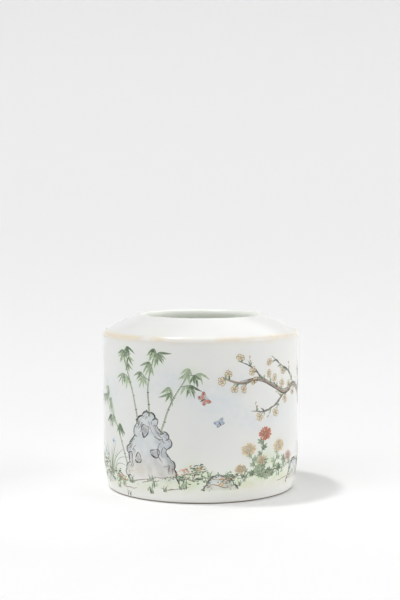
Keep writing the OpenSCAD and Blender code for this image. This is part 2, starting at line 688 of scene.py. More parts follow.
# Ochre and rubbed glaze both painted paler, the glaze paler than the wall's: painted highlight along the
# arris
OCHRE_BAND = WornOchre("ochre_band", ochre=(0.87, 0.785, 0.64), glaze=(0.92, 0.90, 0.85))
CLAY = Biscuit("biscuit_clay", clay=(0.78, 0.71, 0.61), brown=(0.62, 0.51, 0.39))
BARE_FOOT = Biscuit("bare_foot", clay=(0.88, 0.84, 0.77), brown=(0.80, 0.73, 0.63), edge_z=0.9 * MM)
INK = Enamel("ink_lines", "ink_enamel", dark=(0.05, 0.045, 0.045), pale=(0.36, 0.34, 0.32))
BARK = Enamel("brown_ink", "ink_enamel", dark=(0.10, 0.07, 0.05), pale=(0.48, 0.38, 0.29))
GREEN = Enamel("green_leaves", "green_enamel", dark=(0.09, 0.14, 0.08), pale=(0.55, 0.66, 0.45))
RED = Enamel("iron_red", "red_enamel", dark=(0.42, 0.07, 0.035), pale=(0.80, 0.42, 0.32))
SCARLET = Enamel("red_petals", "red_enamel", dark=(0.42, 0.07, 0.035), pale=(0.68, 0.25, 0.14))
PINK = Enamel("pale_red", "red_enamel", dark=(0.66, 0.25, 0.18), pale=(0.90, 0.72, 0.64))
YELLOW = Enamel("ochre_petals", "ochre_enamel", dark=(0.56, 0.38, 0.15), pale=(0.89, 0.80, 0.58))
BLUE = Enamel("pale_blue", "blue_enamel", dark=(0.20, 0.30, 0.45), pale=(0.62, 0.72, 0.84))
# pale is the strength of the painted light that fills in the pot's soft shadow beside it
PAPER = Paper("pale_paper", near=0.915, behind=0.855, top=0.95, pale=0.14, bounce=0.055)


def points_of(mesh: bpy.types.Mesh) -> np.ndarray:
    """Reads where a mesh's points are.

    Args:
        mesh: the mesh.

    Returns:
        One row of x, y and z for each point.
    """
    flat = np.empty(3 * len(mesh.vertices), np.float32)
    mesh.vertices.foreach_get("co", flat)
    return flat.reshape(-1, 3).astype(float)


def placed(name: str, data: Any) -> bpy.types.Object:
    """Makes an object.

    Args:
        name: the object's name.
        data: its mesh, camera or lamp.

    Returns:
        The object, in the scene.
    """
    made = bpy.data.objects.new(name, data)
    bpy.context.scene.collection.objects.link(made)
    return made


def new_piece(
    name: str, mesh: bpy.types.Mesh, material: bpy.types.Material, points: np.ndarray | None = None
) -> bpy.types.Object:
    """Makes a smooth-shaded object of a mesh.

    Args:
        name: the object's name.
        mesh: its shape.
        material: its finish.
        points: new places for the mesh's points.

    Returns:
        The object, in the scene.
    """
    if points is not None:
        mesh.vertices.foreach_set("co", points.astype(np.float32).ravel())
        mesh.update()
    mesh.name = name
    mesh.materials.append(material)
    mesh.shade_smooth()
    mesh.set_sharp_from_angle(angle=SMOOTH_ANGLE)
    return placed(name, mesh)


def mesh_of(bm: bmesh.types.BMesh) -> bpy.types.Mesh:
    """Turns a bmesh into a mesh.

    Args:
        bm: the bmesh, which is freed.

    Returns:
        The mesh.
    """
    mesh = bpy.data.meshes.new("shape")
    bm.to_mesh(mesh)
    bm.free()
    return mesh


def set_attribute(mesh: bpy.types.Mesh, name: str, kind: str, values: np.ndarray) -> None:
    """Stores a value or a colour for each point of a mesh."""
    attribute = mesh.attributes.new(name, kind, "POINT")
    attribute.data.foreach_set("value" if kind == "FLOAT" else "color", values.astype(np.float32).ravel())


@dataclass
class GlazeCoats:
    """The coats of glaze and the ochre band on the arris."""

    form: PotForm
    sectors: int = 8
    turns: int = 60
    skin_step: float = 0.6 * MM
    back_step: float = 3.0 * MM
    band_t: float = 0.12 * MM
    merge_gap: float = 0.002 * MM

    def turned(self, name: str, skin: list[Pair], back: list[Pair], finish: Any) -> bpy.types.Object:
        """A closed coat, turned about the axis and out of round as the pot is.

        Args:
            name: the piece's name.
            skin: outline of its face.
            back: outline of its back, from the same end.
            finish: its finish.

        Returns:
            The piece.
        """
        bm = bmesh.new()
        loop = [bm.verts.new((r, 0, z)) for r, z in skin + back[::-1]]
        edges = [bm.edges.new(pair) for pair in zip(loop, loop[1:])]
        if min(r for r, _ in skin) > 0:
            edges.append(bm.edges.new((loop[-1], loop[0])))
        sweep = math.tau / self.sectors
        bmesh.ops.spin(bm, geom=loop + edges, axis=(0, 0, 1), angle=sweep, steps=self.turns)
        sector = mesh_of(bm)
        bm = bmesh.new()
        for _ in range(self.sectors):
            bm.from_mesh(sector)
            sector.transform(Matrix.Rotation(sweep, 4, "Z"))
        bpy.data.meshes.remove(sector)
        bmesh.ops.remove_doubles(bm, verts=bm.verts, dist=self.merge_gap)
        bmesh.ops.recalc_face_normals(bm, faces=bm.faces)
        mesh = mesh_of(bm)
        points = points_of(mesh)
        angle = np.arctan2(points[:, 0], -points[:, 1])
        points[:, :2] *= self.form.thrown(angle, points[:, 2])[:, None]
        return new_piece(name, mesh, finish.material(), points)

    def band(self, proud: float) -> list[Pair]:
        """Outline of the arris, some way above the glaze."""
        form = self.form
        return arc(form.arris_c, form.arris_r + proud, 0, form.arris_a, self.skin_step / 4)

    def build(self) -> list[bpy.types.Object]:
        """Builds the coats.

        Returns:
            The pieces, the outer coat first.
        """
        form = self.form
        outside = [form.outside(0, self.skin_step), form.outside(form.glaze_t, self.back_step)]
        inside = [form.inside(0, 2 * self.skin_step), form.inside(form.glaze_t, self.back_step)]
        edge = [self.band(self.band_t), self.band(0)]
        pieces = []
        for name, lines, finish, node, slot in (
            ("outer_glaze_coat", outside, WHITE_GLAZE, "outer_glaze", "white_glaze"),
            ("inner_glaze_coat", inside, INSIDE_GLAZE, "inner_glaze", "inside_glaze"),
            ("arris_band_enamel", edge, OCHRE_BAND, "arris_band", "ochre_enamel"),
        ):
            piece = self.turned(name, *lines, finish)
            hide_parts(node)
            pieces.append(piece)
        return pieces


class Brush(Enum):
    """How wide a stroke runs from its start to its end."""

    LINE = "even, thin at both ends"
    BOUGH = "blunt, slowly running out"
    STEM = "even, swollen at both ends"
    LEAF = "widest near its start, running out to a point"
    PETAL = "widest near its round end"
    DOT = "round"

    def widths(self, along: np.ndarray) -> np.ndarray:
        """Works out the width along a stroke.

        Args:
            along: places from 0 at its start to 1 at its end.

        Returns:
            The share of the greatest width at each place.
        """
        shapes = {
            Brush.LINE: np.sin(np.pi * along) ** 0.4,
            Brush.BOUGH: 1 - 0.7 * along,
            Brush.STEM: 0.87 + 0.13 * np.cos(math.tau * along),
            Brush.LEAF: np.sin(np.pi * along**0.62) ** 0.9,
            Brush.PETAL: np.sin(np.pi * along**1.8) ** 0.7,
            Brush.DOT: np.sqrt(1 - (2 * along - 1) ** 2),
        }
        return shapes[self]


def gaps_of(way: Sequence[Any]) -> np.ndarray:
    """Distances between neighbouring places of a way."""
    return np.linalg.norm(np.diff(np.asarray(way, float), axis=0), axis=1)


def run_of(way: Sequence[Any]) -> np.ndarray:
    """Distance of each place of a way from its start, along the way."""
    return np.concatenate([[0.0], np.cumsum(gaps_of(way))])


def length_of(way: Sequence[Any]) -> float:
    """Length of a way along its corners."""
    return float(gaps_of(way).sum())


def smooth_path(points: Sequence[Any], along: np.ndarray) -> np.ndarray:
    """Smooth way through some places on the unrolled wall.

    Args:
        points: the places.
        along: where to look, from 0 at the first place to 1 at the last.

    Returns:
        One row for each place looked at.
    """
    places = np.asarray(points, float)
    gaps = gaps_of(places)
    knots = run_of(places)
    slopes = np.gradient(places, knots, axis=0)
    at = np.asarray(along) * knots[-1]
    first = np.clip(np.searchsorted(knots, at, side="right") - 1, 0, len(gaps) - 1)
    gap = gaps[first][:, None]
    u = (at - knots[first])[:, None] / gap
    start = (1 + 2 * u) * (1 - u) ** 2 * places[first] + u * (1 - u) ** 2 * gap * slopes[first]
    end = u**2 * (3 - 2 * u) * places[first + 1] - u**2 * (1 - u) * gap * slopes[first + 1]
    return start + end


def headings(way: np.ndarray) -> np.ndarray:
    """Direction of a way at each of its places, one long."""
    ahead = np.gradient(way, axis=-2)
    return ahead / np.linalg.norm(ahead, axis=-1, keepdims=True)


def leftwards(ahead: np.ndarray) -> np.ndarray:
    """Directions turned a quarter to the left."""
    return np.stack([-ahead[..., 1], ahead[..., 0]], axis=-1)


def around(centre: Sequence[float], reach: float, degrees: float) -> np.ndarray:
    """Place at a distance and direction from another, on the unrolled wall."""
    angle = math.radians(degrees)
    return np.array(centre) + reach * np.array([math.cos(angle), math.sin(angle)])


def flick(start: Sequence[float], degrees: float, length: float, bend: float = 0.0) -> list[np.ndarray]:
    """Start, middle and end of a brush stroke whose middle is bent off by a share of its length."""
    middle = around(around(start, length / 2, degrees), bend * length, degrees + 90)
    return [np.array(start), middle, around(start, length, degrees)]


def ramp(value: np.ndarray, low: float, high: float) -> np.ndarray:
    """Soft step from 0 at low to 1 at high."""
    share = np.clip((value - low) / (high - low), 0, 1)
    return share**2 * (3 - 2 * share)


def depth_inside(spots: np.ndarray, edge: np.ndarray) -> np.ndarray:
    """How deep places lie inside a closed outline.

    Args:
        spots: the places, one row each.
        edge: the outline's places, the last like the first.

    Returns:
        The distance to the outline, negative outside it.
    """
    nearest = np.full(len(spots), np.inf)
    inside = np.zeros(len(spots), bool)
    for start, end in zip(edge, edge[1:]):
        way = end - start
        off = spots - start
        share = np.clip(off @ way / (way @ way), 0, 1)
        nearest = np.minimum(nearest, np.linalg.norm(off - share[:, None] * way, axis=1))
        spans = (start[1] > spots[:, 1]) != (end[1] > spots[:, 1])
        if spans.any():
            inside ^= spans & (off[:, 0] < off[:, 1] * way[0] / way[1])
    return np.where(inside, nearest, -nearest)


def tube(rings: int) -> bpy.types.Mesh:
    """A straight four-sided tube along Z.

    Args:
        rings: how many rings of points it has, one apart.

    Returns:
        The tube, with its ends closed.
    """
    bm = bmesh.new()
    bmesh.ops.create_cone(bm, cap_ends=True, segments=4, radius1=1, radius2=1, depth=rings - 1)
    upright = [edge for edge in bm.edges if edge.verts[0].co.z * edge.verts[1].co.z < 0]
    bmesh.ops.subdivide_edges(bm, edges=upright, cuts=rings - 2, use_grid_fill=True)
    bmesh.ops.translate(bm, verts=bm.verts, vec=(0, 0, (rings - 1) / 2))
    return mesh_of(bm)


@dataclass
class Layer:
    """The strokes of one enamel in one motif, which become one piece, some millimetres above the glaze.

    A stroke is its places, half widths and tones. It becomes a tube, and relief has the heights of its back,
    edge and crown. Where its half width is more than narrow, its crown is higher, clear of the curved wall.
    """

    name: str
    enamel: Enamel
    lift: float
    hair: float = 0.02
    narrow: float = 1.0
    relief: tuple[float, float, float] = (-0.08, -0.012, 0.022)
    # Longest stroke with each number of rings
    rings: Sequence[tuple[float, int]] = ((1, 5), (3, 7), (10, 11), (24, 19), (60, 49), (math.inf, 97))
    strokes: list[tuple[np.ndarray, np.ndarray, np.ndarray]] = field(default_factory=list)

    def stroke(
        self,
        points: Sequence[Any],
        width: float,
        brush: Brush = Brush.LINE,
        tone: float = 0.3,
        fade: float = 0.0,
    ) -> None:
        """Adds a stroke.

        Args:
            points: places that the brush passes.
            width: greatest width.
            brush: how the width runs.
            tone: how pale it starts, from 0 to 1.
            fade: how much paler it ends.
        """
        length = length_of(points)
        rings = next(count for reach, count in self.rings if length < reach)
        along = (1 - np.cos(np.linspace(0, np.pi, rings))) / 2
        half_widths = np.maximum(width / 2 * brush.widths(along), self.hair)
        self.strokes.append((smooth_path(points, along), half_widths, tone + fade * along))

    def dot(self, place: Sequence[float], size: float, degrees: float = 0.0, tone: float = 0.3) -> None:
        """Adds a dab, a little longer than wide."""
        self.stroke(flick(around(place, -size / 2, degrees), degrees, size), 0.8 * size, Brush.DOT, tone)

    def build(self, form: PotForm) -> bpy.types.Object:
        """Lays the strokes on the wall.

        Args:
            form: the pot's form.

        Returns:
            The piece.
        """
        bm = bmesh.new()
        points = []
        tones = []
        for rings in sorted({len(tone) for _, _, tone in self.strokes}):
            group = [stroke for stroke in self.strokes if len(stroke[2]) == rings]
            path, half_widths, tone = (np.stack(part) for part in zip(*group))
            shape = tube(rings)
            for _ in group:
                bm.from_mesh(shape)
            side, up, ring = points_of(shape).T
            ring = np.rint(ring).astype(int)
            bpy.data.meshes.remove(shape)
            off = (side * half_widths[:, ring])[..., None] * leftwards(headings(path))[:, ring]
            along, height = np.moveaxis((path[:, ring] + off) * MM, -1, 0)
            wide = np.maximum(half_widths[:, ring] ** 2 - self.narrow**2, 0) * MM / (2 * form.body_r)
            lift = (self.lift + np.interp(up, (-1, 0, 1), self.relief) + np.maximum(up, 0) * wide) * MM
            points.append(form.on_wall(along, height, lift).reshape(-1, 3))
            tones.append(tone[:, ring].ravel())
        piece = new_piece(self.name, mesh_of(bm), self.enamel.material(), np.concatenate(points))
        set_attribute(piece.data, TONE, "FLOAT", np.concatenate(tones))
        return piece


class WashField:
    """Thin colour washed over the glaze, at every point of the outer coat."""

    def __init__(self, form: PotForm, points: np.ndarray) -> None:
        """Unrolls the coat.

        Args:
            form: the pot's form.
            points: the coat's points.
        """
        self.round = math.tau * form.body_r / MM
        self.along = np.arctan2(points[:, 0], -points[:, 1]) * form.body_r / MM
        self.up = points[:, 2] / MM
        self.amounts = np.zeros((len(points), len(Pigment)))

    def off(self, along: float) -> np.ndarray:
        """How far the points lie from a place along the wall, the shorter way round."""
        return (self.along - along + self.round / 2) % self.round - self.round / 2

    def add(self, pigment: Pigment, amount: np.ndarray, where: Any = slice(None)) -> None:
        """Washes some more of a pigment on."""
        self.amounts[where, pigment.channel] += amount

    def spare(self, share: np.ndarray, where: Any) -> None:
        """Leaves out the washes so far, where something stands in front of them."""
        self.amounts[where] *= 1 - share[:, None]

    def blot(self, pigment: Pigment, place: Sequence[float], size: float, amount: float) -> None:
        """Washes a soft round spot of a pigment on."""
        gap = np.hypot(self.off(place[0]), self.up - place[1]) / size
        self.add(pigment, amount * np.exp(-(gap**2)))


@dataclass(kw_only=True)
class Motif:
    """Something in the painting, with its own source of chance. Its sizes are in millimetres."""

    seed: int = 0

    def take_up(self, layers: dict[str, Layer], washes: WashField) -> None:
        """Takes up what it paints on.

        Args:
            layers: the painting's layers of strokes by name.
            washes: the painting's washes.
        """
        self.layers = layers
        self.washes = washes
        self.rng = np.random.default_rng(self.seed)

    def layer(self, name: str, enamel: Enamel, lift: float = 0.0) -> Layer:
        """The layer of that name, started if it is new."""
        return self.layers.setdefault(name, Layer(name, enamel, lift))

    def paint(self) -> None:
        """Adds its strokes."""

    def stain(self) -> None:
        """Adds its washes."""


@dataclass
class Mist(Motif):
    """Pale blue mist. A drift is a place with a half length, a half height and an amount."""

    drifts: Sequence[tuple[float, float, float, float, float]]

    def stain(self) -> None:
        """Adds the drifts, soft all round and a little wavy."""
        for along, up, half_l, half_h, amount in self.drifts:
            off = self.washes.off(along) / half_l
            lift = (self.washes.up - up - 0.4 * half_h * np.sin(4 * off + up)) / half_h
            self.washes.add(Pigment.BLUE, amount * np.exp(-(lift**2) - off**4))


@dataclass
class ArrisTint(Motif):
    """Breath of ochre that ran down from the band on the arris."""

    edge: float
    depth: float = 2.4
    amount: float = 0.3

    def stain(self) -> None:
        """Adds the ochre under the edge, more in some places than in others."""
        along = self.washes.along
        below = self.edge - self.washes.up
        patch = 0.7 + 0.3 * np.sin(0.31 * along + 1) * np.sin(0.12 * along)
        amount = self.amount * patch * ramp(below, -3, 0) * (1 - ramp(below, 0, self.depth))
        self.washes.add(Pigment.OCHRE, amount)


@dataclass
class Bank(Motif):
    """Low grassy bank that runs round the foot of the pot.

    A wave of its edge is a height, how often it comes round the pot and where it starts.
    """

    wall_r: float
    height: float = 11.5
    waves: Sequence[tuple[float, int, float]] = ((2, 2, 0.4), (1.4, 5, 2), (0.7, 11, 1))
    ledges: Sequence[float] = (0.0, 0.0, 1.2, 3.0, 5.5)
    tufts: int = 62
    dabs: int = 260
    green: float = 0.8
    ochre: float = 0.35

    def top(self, along: Any) -> Any:
        """Height of the bank's edge at places along the wall."""
        turn = along / self.wall_r
        return sum((rise * np.sin(times * turn + start) for rise, times, start in self.waves), self.height)

    def paint(self) -> None:
        """Adds the ground lines, tufts of grass and dabs of moss."""
        rng = self.rng
        lines = self.layer("bank_lines", BARK, lift=0.01)
        grass = self.layer("grass_blades", GREEN, lift=0.015)
        moss = self.layer("moss_dots", GREEN, lift=0.02)
        half = math.pi * self.wall_r
        along = -half
        while along < half:
            length = rng.uniform(3, 9)
            lower = rng.choice(self.ledges)
            spots = np.linspace(along, along + length, 4)
            way = np.stack([spots, self.top(spots) - lower + rng.normal(0, 0.18, 4)], axis=1)
            lines.stroke(way, rng.uniform(0.22, 0.5), tone=rng.uniform(0.1, 0.6), fade=0.3)
            along += length * rng.uniform(0.25, 0.7)
        for base in rng.uniform(-half, half, self.tufts):
            root = self.top(base) - rng.uniform(0.3, 7)
            for _ in range(rng.integers(4, 9)):
                lean = rng.normal(0, 22)
                start = (base + rng.normal(0, 0.6), root)
                way = flick(start, 90 + lean, rng.uniform(1.6, 4.2), -0.004 * lean)
                grass.stroke(way, rng.uniform(0.28, 0.45), Brush.LEAF, rng.uniform(0.05, 0.6), fade=0.2)
        for base in rng.uniform(-half, half, self.dabs):
            place = (base, self.top(base) + rng.normal(-0.3, 0.5))
            moss.dot(place, rng.uniform(0.4, 0.9), rng.uniform(-30, 30), rng.uniform(0.0, 0.7))

    def stain(self) -> None:
        """Adds the green of the bank and the ochre of the bare ground under it."""
        washes = self.washes
        below = self.top(washes.along) - washes.up
        turn = washes.along / self.wall_r
        above = ramp(washes.up, 1.5, 8)
        patch = 0.75 + 0.25 * np.sin(4 * turn + 1.3) + 0.15 * np.sin(9 * turn)
        lush = self.green * above * patch * ramp(below, -0.8, 2)
        washes.add(Pigment.GREEN, lush * np.exp(-np.maximum(below - 2, 0) / 9))
        bare = 0.5 + 0.5 * np.sin(3 * turn + 4) * np.sin(7 * turn + 1)
        washes.add(Pigment.OCHRE, self.ochre * above * bare * ramp(below, 1, 4))


@dataclass
class GardenRock(Motif):
    """Garden rock under thin washes, with its foot lost in the grass.

    Its outline runs from its left foot over its top to its right foot, and gets lumps of a length, with
    scallops of a height. A hole is a place with a half width and a half height, and a stroke on its edge is
    its first point and its width.
    """

    outline: Sequence[Pair]
    holes: Sequence[tuple[float, float, float, float]] = ()
    wrinkles: int = 60
    lump: float = 4.4
    scallop: float = 0.8
    moss: float = 0.7
    fade: float = 7.0
    edge_points: int = 240
    hole_points: int = 25
    hole_strokes: Sequence[tuple[int, float]] = ((0, 0.3), (6, 0.5), (13, 0.75), (18, 0.5))

    def __post_init__(self) -> None:
        """Works out the lumpy edge, where its lumps meet, and which way is inwards."""
        way = smooth_path(self.outline, np.linspace(0, 1, self.edge_points))
        self.inward = -leftwards(headings(way))
        run = run_of(way)
        swing = math.pi * run / self.lump + 0.9 * np.sin(run / 5.3 + self.seed)
        lumps = np.abs(np.sin(swing)) ** 0.6
        self.edge = way - self.scallop * (lumps - 0.5)[:, None] * self.inward
        meetings = np.flatnonzero(np.diff(np.floor(swing / math.pi))) + 1
        last = len(way) - 1
        self.cusps = [0, *meetings[(meetings > 3) & (meetings < last - 3)], last]

    def hole_edge(self, hole: tuple[float, float, float, float]) -> np.ndarray:
        """Works out the lumpy closed edge of a hole.

        Args:
            hole: the hole's place, half width and half height.

        Returns:
            One row for each point.
        """
        turn = np.linspace(0, math.tau, self.hole_points)
        lumps = 1 + 0.16 * np.sin(3 * turn + hole[0]) + 0.1 * np.sin(5 * turn + hole[1])
        reach = np.stack([hole[2] * np.cos(turn), hole[3] * np.sin(turn)], axis=1)
        return np.array(hole[:2]) + lumps[:, None] * reach

    def paint(self) -> None:
        """Adds the outlines, wrinkles and moss."""
        rng = self.rng
        ink = self.layer("rock_ink", INK, lift=0.015)
        moss = self.layer("moss_dots", GREEN, lift=0.02)
        for start, end in zip(self.cusps, self.cusps[1:]):
            way = [*self.edge[start:end:3], self.edge[end]]
            if end < len(self.edge) - 1:
                way.append(self.edge[end] + self.lump * rng.uniform(0.06, 0.5) * self.inward[end])
            ink.stroke(way, rng.uniform(0.4, 0.85), tone=rng.uniform(0.0, 0.35), fade=0.15)
        for first in rng.integers(0, len(self.edge) - 20, self.wrinkles):
            reach = slice(first, first + int(rng.integers(7, 18)), 3)
            shallow = rng.uniform(0.18, 0.95)
            depth = self.lump * (shallow + np.linspace(0, rng.uniform(-0.14, 0.22), len(self.edge[reach])))
            way = self.edge[reach] + depth[:, None] * self.inward[reach]
            ink.stroke(way, rng.uniform(0.18, 0.4), tone=rng.uniform(0.3, 0.7), fade=0.35)
        for hole in self.holes:
            edge = self.hole_edge(hole)
            for first, width in self.hole_strokes:
                ink.stroke(edge[first : first + 7 : 2], width, tone=rng.uniform(0, 0.3))
        for place, inward in zip(self.edge[::3], self.inward[::3]):
            if inward[1] < -0.3 and rng.random() < self.moss:
                spot = place + inward * rng.normal(0.1, 0.4)
                moss.dot(spot, rng.uniform(0.5, 1.0), rng.uniform(-30, 30), rng.uniform(0.0, 0.5))

    def stain(self) -> None:
        """Adds the washes: blue and grey on the shaded side and in the holes, ochre towards the foot."""
        washes = self.washes
        middle = self.edge[:, 0].mean()
        half = np.ptp(self.edge[:, 0]) / 2
        foot = self.edge[:, 1].min()
        top = self.edge[:, 1].max()
        off = washes.off(middle)
        near = np.flatnonzero((np.abs(off) < 2 * half) & (washes.up < top + 2))
        off = off[near]
        up = washes.up[near]
        spots = np.stack([middle + off, up], axis=1)
        depth = depth_inside(spots, np.concatenate([self.edge, self.edge[:1]]))
        body = ramp(depth, -0.3, 0.5) * ramp(up, foot - 1, foot - 1 + self.fade)
        shade = ramp(off + 0.2 * (up - foot), -0.5 * half, 1.1 * half)
        rim = np.exp(-np.maximum(depth, 0) / 1.2)
        streak = 0.5 + 0.5 * np.sin(1.1 * off + 0.6 * up)
        washes.spare(0.85 * body, near)
        washes.add(Pigment.BLUE, body * (0.2 + 0.25 * shade + 0.25 * rim), near)
        washes.add(Pigment.INK, body * (0.06 + 0.22 * shade * streak + 0.14 * rim), near)
        washes.add(Pigment.OCHRE, 0.5 * body * (1 - ramp(up, foot + 2, foot + 0.5 * (top - foot))), near)
        for hole in self.holes:
            washes.add(Pigment.INK, 0.5 * ramp(depth_inside(spots, self.hole_edge(hole)), -0.3, 1.1), near)


@dataclass
class Bamboo(Motif):
    """Bamboo stems with sprays of hanging leaves."""

    stems: Sequence[Sequence[Pair]]
    stem_w: float = 1.0
    joint_gap: float = 5.5
    leaf_l: float = 5.4
    leaf_w: float = 1.2
    fan: float = 38.0
    bare: float = 0.3
    sprays: list[np.ndarray] = field(default_factory=list)

    def paint(self) -> None:
        """Adds the stems, joint by joint, with a spray of leaves at the upper joints."""
        rng = self.rng
        stems = self.layer("bamboo_stems", GREEN)
        self.ink = self.layer("bamboo_ink", INK, lift=0.012)
        self.leaves = self.layer("bamboo_leaves", GREEN, lift=0.01)
        for way in self.stems:
            joints = max(3, round(length_of(way) / self.joint_gap))
            spots = smooth_path(way, np.linspace(0, 1, joints + 1))
            for number, (low, high) in enumerate(zip(spots, spots[1:])):
                width = self.stem_w * (1 - 0.5 * number / joints)
                ahead = (high - low) / np.linalg.norm(high - low)
                aside = width * leftwards(ahead)
                stems.stroke([low, high], width, Brush.STEM, rng.uniform(0.4, 0.8))
                self.ink.stroke([low + 0.45 * aside, high + 0.45 * aside], 0.2)
                self.ink.stroke([high - 0.7 * aside, high + 0.7 * aside], 0.34, tone=0.1)
                if number >= self.bare * joints:
                    heading = math.degrees(bearing((0, 0), ahead))
                    self.spray(high, heading + rng.choice((-1, 1)) * rng.uniform(30, 60))
            self.spray(spots[-1], 90)

    def spray(self, start: np.ndarray, degrees: float) -> None:
        """Adds a twig with fans of leaves.

        Args:
            start: where the twig leaves the stem.
            degrees: its direction.
        """
        rng = self.rng
        way = flick(start, degrees, rng.uniform(2.5, 6), rng.uniform(-0.12, 0.12))
        self.ink.stroke(way, 0.26, tone=0.25)
        side = 1 if way[2][0] > start[0] else -1
        for spot in way[1:]:
            self.sprays.append(spot)
            middle = -90 + side * rng.uniform(5, 38)
            tone = rng.uniform(0.0, 0.7)
            for lean in np.linspace(-self.fan, self.fan, rng.integers(3, 6)):
                heading = middle + lean + rng.normal(0, 6)
                length = self.leaf_l * rng.uniform(0.7, 1.15)
                bend = rng.uniform(-0.06, 0.06)
                width = self.leaf_w * rng.uniform(0.75, 1.1)
                leaf = flick(spot, heading, length, bend)
                self.leaves.stroke(leaf, width, Brush.LEAF, tone + rng.normal(0, 0.1), fade=0.15)
                self.ink.stroke(flick(spot, heading, 0.85 * length, bend), 0.14, fade=0.4)

    def stain(self) -> None:
        """Adds a breath of green round the leaves."""
        for spot in self.sprays:
            self.washes.blot(Pigment.GREEN, spot - np.array([0, 2]), size=3.2, amount=0.22)


@dataclass
class PlumTree(Motif):
    """Flowering plum: brown boughs, twigs, blossoms and buds.

    A bough is the way it grows, its width at the start and the share of it that is bare. The rim of a petal
    runs through places, each a share of its length and a direction off its own.
    """

    boughs: Sequence[tuple[Sequence[Pair], float, float]]
    petal: Enamel = PINK
    line: Enamel = RED
    leaves: int = 0
    blossom_r: float = 1.8
    spacing: float = 4.2
    gap: float = 3.9
    open_share: float = 0.68
    rim: Sequence[Pair] = (
        (0.35, -12), (0.78, -33), (1.02, -20), (1.06, 0), (1.02, 20), (0.78, 33), (0.35, 12),
    )
    blossoms: list[np.ndarray] = field(default_factory=list)

    def paint(self) -> None:
        """Adds the boughs, then twigs and blossoms along them."""
        rng = self.rng
        self.bark = self.layer("plum_boughs", BARK)
        self.ink = self.layer("plum_ink", INK, lift=0.012)
        self.foliage = self.layer("plum_leaves", GREEN, lift=0.006)
        self.petals = self.layer(f"plum_{self.petal.name}", self.petal, lift=0.008)
        self.lines = self.layer(f"plum_lines_{self.line.name}", self.line, lift=0.02)
        self.stamens = self.layer("plum_stamens", YELLOW, lift=0.03)
        for way, width, _ in self.boughs:
            self.bough(way, width)
        for way, _, bare in self.boughs:
            for share in np.arange(bare, 1.02, self.spacing / length_of(way)):
                at = min(share, 0.98)
                spot, beyond = smooth_path(way, np.array([at, at + 0.02]))
                heading = math.degrees(bearing(spot, beyond))
                self.twig(spot, heading + rng.choice((-1, 1)) * rng.uniform(35, 80), tip=share > 0.95)

    def bough(self, way: Sequence[Pair], width: float) -> None:
        """Adds a bough with the dry streaks of its bark.

        Args:
            way: the way that it grows.
            width: its width at the start.
        """
        rng = self.rng
        self.bark.stroke(way, 1.35 * width, Brush.BOUGH, rng.uniform(0.45, 0.65), fade=0.1)
        shares = np.linspace(0, 1, 40)
        spots = smooth_path(way, shares)
        aside = leftwards(headings(spots)) * (width * Brush.BOUGH.widths(shares))[:, None]
        for _ in range(int(9 + 8 * width)):
            first = int(rng.integers(0, 33))
            reach = slice(first, first + int(rng.integers(4, 12)), 2)
            off = rng.choice((-0.5, 0.5, rng.uniform(-0.4, 0.4)))
            streak = spots[reach] + off * aside[reach]
            self.ink.stroke(streak, rng.uniform(0.18, 0.4), tone=rng.uniform(0.0, 0.3), fade=0.2)

    def twig(self, start: np.ndarray, degrees: float, tip: bool) -> None:
        """Adds a twig with a blossom or buds, where there is room.

        Args:
            start: where it leaves the bough.
            degrees: its direction.
            tip: whether it ends a bough.
        """
        rng = self.rng
        for _ in range(self.leaves):
            leaf = flick(start, degrees + rng.normal(0, 40), rng.uniform(1.6, 3.0), rng.uniform(-0.1, 0.1))
            self.foliage.stroke(leaf, rng.uniform(0.7, 1.1), Brush.LEAF, rng.uniform(0.0, 0.6), fade=0.2)
        way = flick(start, degrees, rng.uniform(1.6, 4.4), rng.uniform(-0.1, 0.1))
        end = way[2]
        crowded = any(np.linalg.norm(end - spot) < self.gap for spot in self.blossoms)
        if crowded and not tip:
            return
        self.bark.stroke(way, rng.uniform(0.32, 0.48), Brush.BOUGH, tone=0.2, fade=0.2)
        if rng.random() < self.open_share:
            self.blossoms.append(end)
            self.blossom(end, self.blossom_r * rng.uniform(0.85, 1.12))
        else:
            for spot in way[1:]:
                self.bud(spot, degrees + rng.normal(0, 35))

    def blossom(self, centre: np.ndarray, size: float) -> None:
        """Adds an open blossom, turned a little away from the viewer.

        Args:
            centre: its middle.
            size: length of a petal.
        """
        rng = self.rng
        across = around((0, 0), 1, rng.uniform(0, 180))
        squash = rng.uniform(0.0, 0.4)

        def seen(reach: float, degrees: float) -> np.ndarray:
            """Place in the blossom as seen aslant."""
            off = around((0, 0), reach * size, degrees)
            return centre + off - squash * (off @ across) * across

        turn = rng.uniform(0, 72)
        for petal in range(5):
            heading = turn + 72 * petal + rng.normal(0, 4)
            way = [seen(reach, heading) for reach in (0.15, 0.6, 1)]
            width = 1.02 * size * (1 - 0.4 * squash)
            self.petals.stroke(way, width, Brush.PETAL, rng.uniform(0.3, 0.5), fade=0.6)
            self.lines.stroke([seen(reach, heading + lean) for reach, lean in self.rim], 0.18, tone=0.2)
        for heading in turn + np.arange(0, 360, 45) + rng.normal(0, 8, 8):
            end = seen(rng.uniform(0.45, 0.65), heading)
            self.lines.stroke([centre, end], 0.1, tone=0.0)
            self.stamens.dot(end, 0.3, heading, tone=0.1)

    def bud(self, place: np.ndarray, degrees: float) -> None:
        """Adds a closed bud.

        Args:
            place: where it sits on its twig.
            degrees: its direction.
        """
        size = self.rng.uniform(0.9, 1.3)
        self.petals.stroke(flick(place, degrees, size), 0.85 * size, Brush.PETAL, fade=-0.3)
        self.ink.dot(place, 0.42, degrees, tone=0.15)

    def stain(self) -> None:
        """Adds a breath of warm colour round the blossoms."""
        for spot in self.blossoms:
            self.washes.blot(Pigment.OCHRE, spot, size=2.6, amount=0.22)


